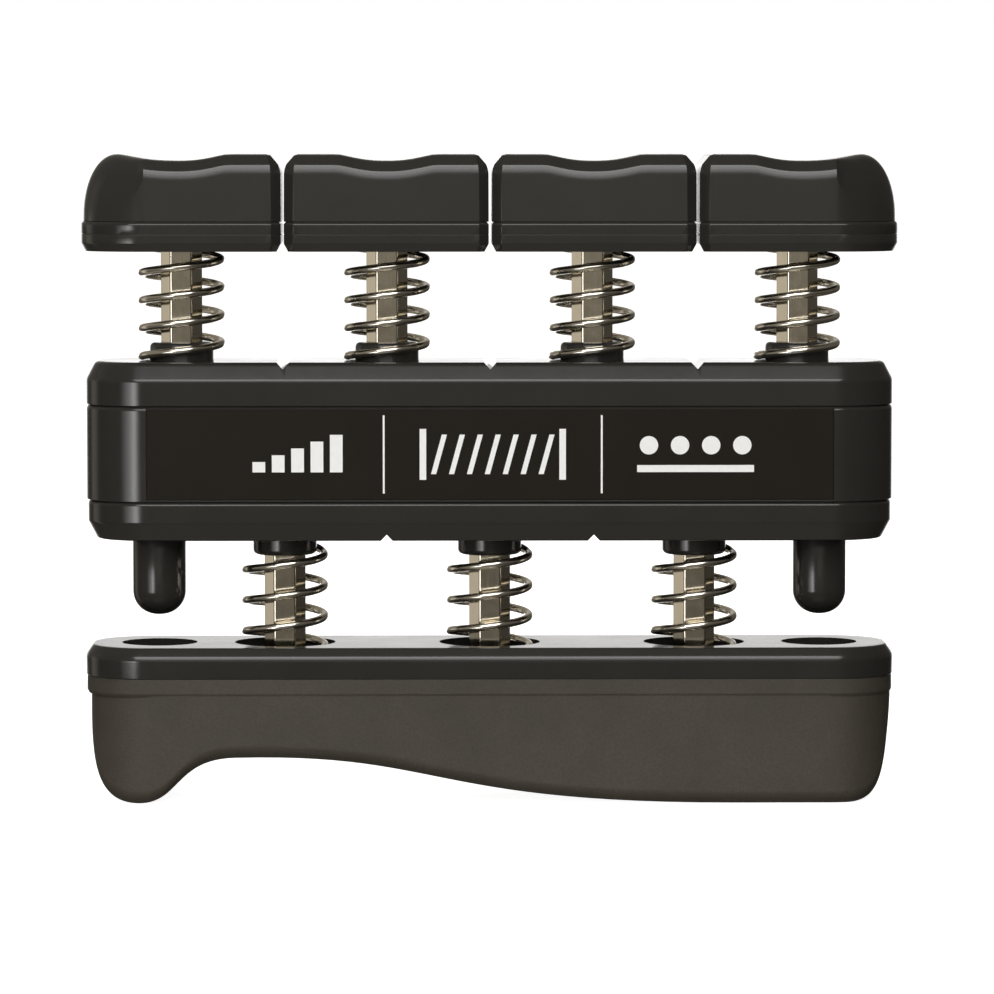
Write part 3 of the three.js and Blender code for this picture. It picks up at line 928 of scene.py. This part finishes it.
def palm_grip():
    """Grip lofted along X: plan width and underside height set each upright section."""
    low, high = low_high("palm_grip")
    rim_bottom = high.z - RIM_HEIGHT
    top = high.z - 0.4 * MM
    flat_end = GRIP_HALF_DEPTH - CORNER

    def width(x):
        """Half the depth of the grip at x, following its rounded plan corners."""
        from_end = min(x - GRIP_LEFT, GRIP_RIGHT - x)
        if from_end >= CORNER:
            return GRIP_HALF_DEPTH
        reach = CORNER - max(0.0, from_end)
        return flat_end + math.sqrt(max(0.0, CORNER * CORNER - reach * reach))

    sections = []
    for x, z in grip_underside():
        half = width(x)
        radius = min(FOOT_ROUND, 0.75 * half, 0.6 * (top - z))
        front = [(-half, top)]
        for step in range(FOOT_STEPS + 1):
            angle = step / FOOT_STEPS * math.pi / 2
            y = -half + radius * (1 - math.cos(angle))
            front.append((y, z + radius * (1 - math.sin(angle))))
        rear = [(-y, level) for y, level in reversed(front)]
        flat = [(mix(-half + radius, half - radius, share), z) for share in (0.25, 0.5, 0.75)]
        sections.append([(x, y, level) for y, level in front + flat + rear])
    count = len(sections[0])
    verts = [point for section in sections for point in section]
    faces = []
    for index in range(len(sections) - 1):
        start = index * count
        for i in range(count):
            j = (i + 1) % count
            faces.append((start + i, start + j, start + count + j, start + count + i))
    faces.append(tuple(range(count)))
    faces.append(tuple(range((len(sections) - 1) * count, len(sections) * count)))
    grip = new_object("palm_grip_body", verts, faces, GRIP)

    rim_half = (high.y - low.y) / 2
    points = [
        (0.9 * MM, rim_bottom - 0.1 * MM), (0.26 * MM, rim_bottom),
        (0.08 * MM, rim_bottom + 0.35 * MM),
        (0.10 * MM, high.z - 0.1 * MM), (0.16 * MM, high.z),
    ]
    profile = rounded_profile(points, (0.12 * MM, 0.3 * MM, 0.1 * MM))
    rim = loft("rim", profile_rings(rounded_plan(low.x, high.x, rim_half), profile), None)
    join(grip, rim)
    for number in range(1, PALM_POST_COUNT + 1):
        x = post_x("lower", number)
        pocket_floor = low_high(f"lower_spring_{number}")[0].z - SEAT_PLAY
        post_foot = low_high(f"lower_post_{number}")[0].z - 0.1 * MM
        cut(grip, rod(x, POCKET_RADIUS, pocket_floor, high.z + MM),
            hexagon(x, ACROSS_FLATS + SOCKET_PLAY, post_foot, high.z + MM))
    for side in ("left", "right"):
        cut(grip, rod(peg_x(side), PEG_HOLE_RADIUS, PEG_HOLE_FLOOR, high.z + MM))
    finish_edges(grip, width=0.08 * MM, angle=35)
    settle(grip, "palm", "grip", "palm_grip")


# ---- Generic print on the label -----------------------------------------------------


class Printer:
    """Collects thin raised ink shapes on the front of the label, sizes in millimetres."""

    THICK = 0.012 * MM

    def __init__(self, y):
        self.y = y
        self.verts = []
        self.faces = []

    def outline(self, points):
        """Adds one flat shape with its sides, from its corners in order round it."""
        start = len(self.verts)
        count = len(points)
        for y in (self.y, self.y - self.THICK):
            self.verts += [(x, y, z) for x, z in points]
        for i in range(count):
            j = (i + 1) % count
            self.faces.append((start + i, start + j, start + count + j, start + count + i))
        self.faces.append(tuple(range(start + count, start + 2 * count)))
        self.faces.append(tuple(reversed(range(start, start + count))))

    def bar(self, x0, x1, z0, z1):
        self.outline([(x0, z0), (x1, z0), (x1, z1), (x0, z1)])

    def disc(self, x, z, radius, sides=28):
        self.outline([(x + radius * math.cos(a), z + radius * math.sin(a))
                      for a in (i / sides * 2 * math.pi for i in range(sides))])

    def slanted_bar(self, x, z, width, lean, half_height):
        """Adds a bar that leans to the right by lean over its height."""
        foot, head = x - lean / 2 - width / 2, x + lean / 2 - width / 2
        self.outline([(foot, z - half_height), (foot + width, z - half_height),
                      (head + width, z + half_height), (head, z + half_height)])


def printed_marks(low, high):
    """Two rules, a row of rising level bars, a spring sign and four finger dots."""
    printer = Printer(low.y - 0.001 * MM)
    middle = (low.z + high.z) / 2
    rule_half = 4.15 * MM
    rules = (-11.3 * MM, 11.8 * MM)
    for x in rules:
        printer.bar(x - 0.1 * MM, x + 0.1 * MM, middle - rule_half, middle + rule_half)

    # Left field: rising bars for the strength of the springs
    bar_x, foot = -25.2 * MM, middle - 1.9 * MM
    for step in range(5):
        x = bar_x + step * 2.05 * MM
        printer.bar(x, x + 1.35 * MM, foot, foot + (1.1 + 0.72 * step) * MM)

    # Middle field: the coils of a spring between two plates
    centre = (rules[0] + rules[1]) / 2
    half = 7.4 * MM
    for x in (centre - half, centre + half):
        printer.bar(x - 0.35 * MM, x + 0.35 * MM, middle - 2.7 * MM, middle + 2.7 * MM)
    for step in range(7):
        x = centre + (step - 3) * 1.9 * MM
        printer.slanted_bar(x, middle, 0.55 * MM, 1.15 * MM, 2.1 * MM)

    # Right field: four finger dots over a palm bar
    dots = centre + 21.5 * MM
    for step in range(4):
        printer.disc(dots + (step - 1.5) * 3.3 * MM, middle + 0.95 * MM, 0.98 * MM)
    printer.bar(dots - 6.2 * MM, dots + 6.2 * MM, middle - 1.9 * MM, middle - 1.15 * MM)
    return new_object("label_print", printer.verts, printer.faces, INK)


# ---- Building -----------------------------------------------------------------------

PITCH = post_x("upper", 2) - post_x("upper", 1)  # from one finger button to the next

for button in range(1, BUTTON_COUNT + 1):
    button_cap(button)
    button_base(button)
    post("upper", button)
    spring("upper", button, lead=0.25, active=4.67, tail=1, phase=0.28)
for palm_post in range(1, PALM_POST_COUNT + 1):
    post("lower", palm_post)
    spring("lower", palm_post, lead=1, active=4.15, tail=0.5, phase=0.29, top_pitch=1.9)
upper_cap()
centre_section()
lower_cap()
guide_peg("left")
guide_peg("right")
front_label()
palm_plate()
palm_grip()

# The clips keep their CAD shape, with their own steel
for name, obj in frame["nodes"].items():
    if "_clip_" in name:
        obj.data.materials.clear()
        obj.data.materials.append(CLIP_STEEL)


# ---- Stage, lights and camera -------------------------------------------------------

LIGHT_TARGET = Vector((0, 0, 0.035))

# (azimuth, radiance) of strips on the left that fade out round the side
LEFT_STRIPS = ((-24, 1.6), (-28, 4.2), (-32, 2.8), (-37, 2.0), (-42, 1.2), (-47, 0.7))

# (elevation, radiance) of long level strips above the viewer
TOP_STRIPS = ((56, 0.35), (45, 5.4), (35, 4.0), (26, 2.4), (18, 1.1))

# (name, azimuth, elevation, radiance) of lights that leave no reflection
FILLS = (("front_fill", -3, 8, 2.75), ("back_fill", 190, 30, 3.6))


def floor():
    """Wide white floor that glows a little, so that it meets the white background."""
    half = 40.0
    verts = [(-half, -half, 0), (half, -half, 0), (half, half, 0), (-half, half, 0)]
    obj = new_object("floor", verts, [(0, 1, 2, 3)], None)
    obj.location.z = -0.02 * MM
    n = Nodes("floor_paint")
    n.set(Base_Color=(0.9, 0.9, 0.9, 1), Roughness=0.95, Specular_IOR_Level=0.0,
          Emission_Color=(1, 1, 1, 1), Emission_Strength=0.93)
    obj.data.materials.append(n.material)
    obj.visible_glossy = False
    obj.visible_diffuse = False


def area_light(name, azimuth, elevation, distance, size, radiance):
    """Rectangular soft light. Azimuth 0 is in front and grows to the right, in degrees."""
    data = bpy.data.lights.new(name, "AREA")
    data.shape = "RECTANGLE"
    data.size, data.size_y = size
    data.energy = radiance * math.pi * size[0] * size[1]
    obj = bpy.data.objects.new(name, data)
    bpy.context.scene.collection.objects.link(obj)
    a, e = math.radians(azimuth), math.radians(elevation)
    back = Vector((math.sin(a) * math.cos(e), -math.cos(a) * math.cos(e), math.sin(e)))
    obj.location = LIGHT_TARGET + back * distance
    obj.rotation_mode = "QUATERNION"
    obj.rotation_quaternion = back.to_track_quat("Z", "Y")
    return obj


class WorldNodes:
    """Short way to build the world's node tree from directions."""

    def __init__(self):
        self.world = bpy.data.worlds.new("studio")
        bpy.context.scene.world = self.world
        self.world.use_nodes = True
        self.tree = self.world.node_tree
        self.tree.nodes.clear()
        place = self.tree.nodes.new("ShaderNodeTexCoord")
        self.split = self.tree.nodes.new("ShaderNodeSeparateXYZ")
        self.tree.links.new(place.outputs["Generated"], self.split.inputs[0])

    def band(self, axis, from_low, from_high, to_low, to_high):
        """Smooth step along one axis of the direction looked at."""
        node = self.tree.nodes.new("ShaderNodeMapRange")
        node.interpolation_type = "SMOOTHSTEP"
        self.tree.links.new(self.split.outputs[axis], node.inputs["Value"])
        for socket, value in zip(("From Min", "From Max", "To Min", "To Max"),
                                 (from_low, from_high, to_low, to_high)):
            node.inputs[socket].default_value = value
        return node.outputs["Result"]

    def math(self, operation, a, b):
        node = self.tree.nodes.new("ShaderNodeMath")
        node.operation = operation
        self.tree.links.new(a, node.inputs[0])
        self.tree.links.new(b, node.inputs[1])
        return node.outputs[0]

    def glow(self, colour, strength):
        """Background of one colour; its strength is a node output, or 1 if None."""
        node = self.tree.nodes.new("ShaderNodeBackground")
        node.inputs["Color"].default_value = (*colour, 1)
        if strength is not None:
            self.tree.links.new(strength, node.inputs["Strength"])
        return node.outputs[0]


def world():
    """White behind the object as seen by the camera; a dim warm room in what it reflects."""
    n = WorldNodes()

    # The room: darker under the horizon and towards the sides, and lighter straight down
    level = n.band("Z", -0.06, 0.0, 0.13, 0.25)
    level = n.math("ADD", level, n.band("Z", -0.9, -0.4, 0.22, 0.0))
    left = n.band("X", -0.5, -0.1, 0.8, 1.0)
    right = n.band("X", 0.02, 0.55, 1.0, 0.35)
    room = n.math("MULTIPLY", level, n.math("MULTIPLY", left, right))

    # Beside the object on the far left: seen in the left faces of the posts
    beside = n.band("X", -0.84, -0.74, 0.45, 0.0)
    beside = n.math("MULTIPLY", beside, n.band("Y", 0.2, 0.4, 0.0, 1.0))
    beside = n.math("MULTIPLY", beside, n.band("Z", 0.0, 0.12, 1.0, 0.3))
    room = n.math("ADD", room, beside)

    # A low band on the viewer's side: seen in the fronts of the caps, which lean back
    ahead = n.band("X", -0.25, -0.12, 0.0, 1.0)
    ahead = n.math("MULTIPLY", ahead, n.band("X", 0.12, 0.25, 1.0, 0.0))
    ahead = n.math("MULTIPLY", ahead, n.band("Y", -0.9, -0.6, 1.0, 0.0))
    low_band = n.band("Z", 0.0, 0.03, 0.0, 0.30)
    low_band = n.math("MULTIPLY", low_band, n.band("Z", 0.10, 0.16, 1.0, 0.0))
    room = n.math("ADD", room, n.math("MULTIPLY", ahead, low_band))

    # White low behind the object: seen in flat tops at a shallow angle
    behind = n.band("Y", 0.86, 0.97, 0.0, 1.8)
    behind = n.math("MULTIPLY", behind, n.band("Z", 0.03, 0.17, 1.0, 0.1))

    reflected = n.tree.nodes.new("ShaderNodeAddShader")
    n.tree.links.new(n.glow((1.0, 0.92, 0.78), room), reflected.inputs[0])
    n.tree.links.new(n.glow((0.97, 0.98, 1.0), behind), reflected.inputs[1])

    # The camera itself sees plain white
    seen = n.tree.nodes.new("ShaderNodeLightPath")
    pick = n.tree.nodes.new("ShaderNodeMixShader")
    n.tree.links.new(seen.outputs["Is Camera Ray"], pick.inputs[0])
    n.tree.links.new(reflected.outputs[0], pick.inputs[1])
    n.tree.links.new(n.glow((1, 1, 1), None), pick.inputs[2])
    output = n.tree.nodes.new("ShaderNodeOutputWorld")
    n.tree.links.new(pick.outputs[0], output.inputs[0])


def camera():
    """Long lens, level with the top of the object and looking slightly down at its middle."""
    data = bpy.data.cameras.new("camera")
    data.lens = 182.3
    data.sensor_width = 36
    data.clip_start = 0.01
    obj = bpy.data.objects.new("camera", data)
    bpy.context.scene.collection.objects.link(obj)
    obj.location = (-0.0063, -0.540, 0.0700)
    target = Vector((0.0008, 0, 0.0323))
    obj.rotation_mode = "QUATERNION"
    obj.rotation_quaternion = (target - obj.location).to_track_quat("-Z", "Y")
    bpy.context.scene.camera = obj


floor()
world()
for azimuth, radiance in LEFT_STRIPS:
    area_light(f"left_strip_{-azimuth}", azimuth, -3.5, 0.62, (0.090, 0.12), radiance)
for elevation, radiance in TOP_STRIPS:
    area_light(f"top_strip_{elevation}", -4, elevation, 0.70, (0.56, 0.12), radiance)
for name, azimuth, elevation, radiance in FILLS:
    fill = area_light(name, azimuth, elevation, 0.90, (0.5, 0.5), radiance)
    fill.visible_glossy = False
camera()
bpy.context.scene.view_settings.view_transform = "Standard"
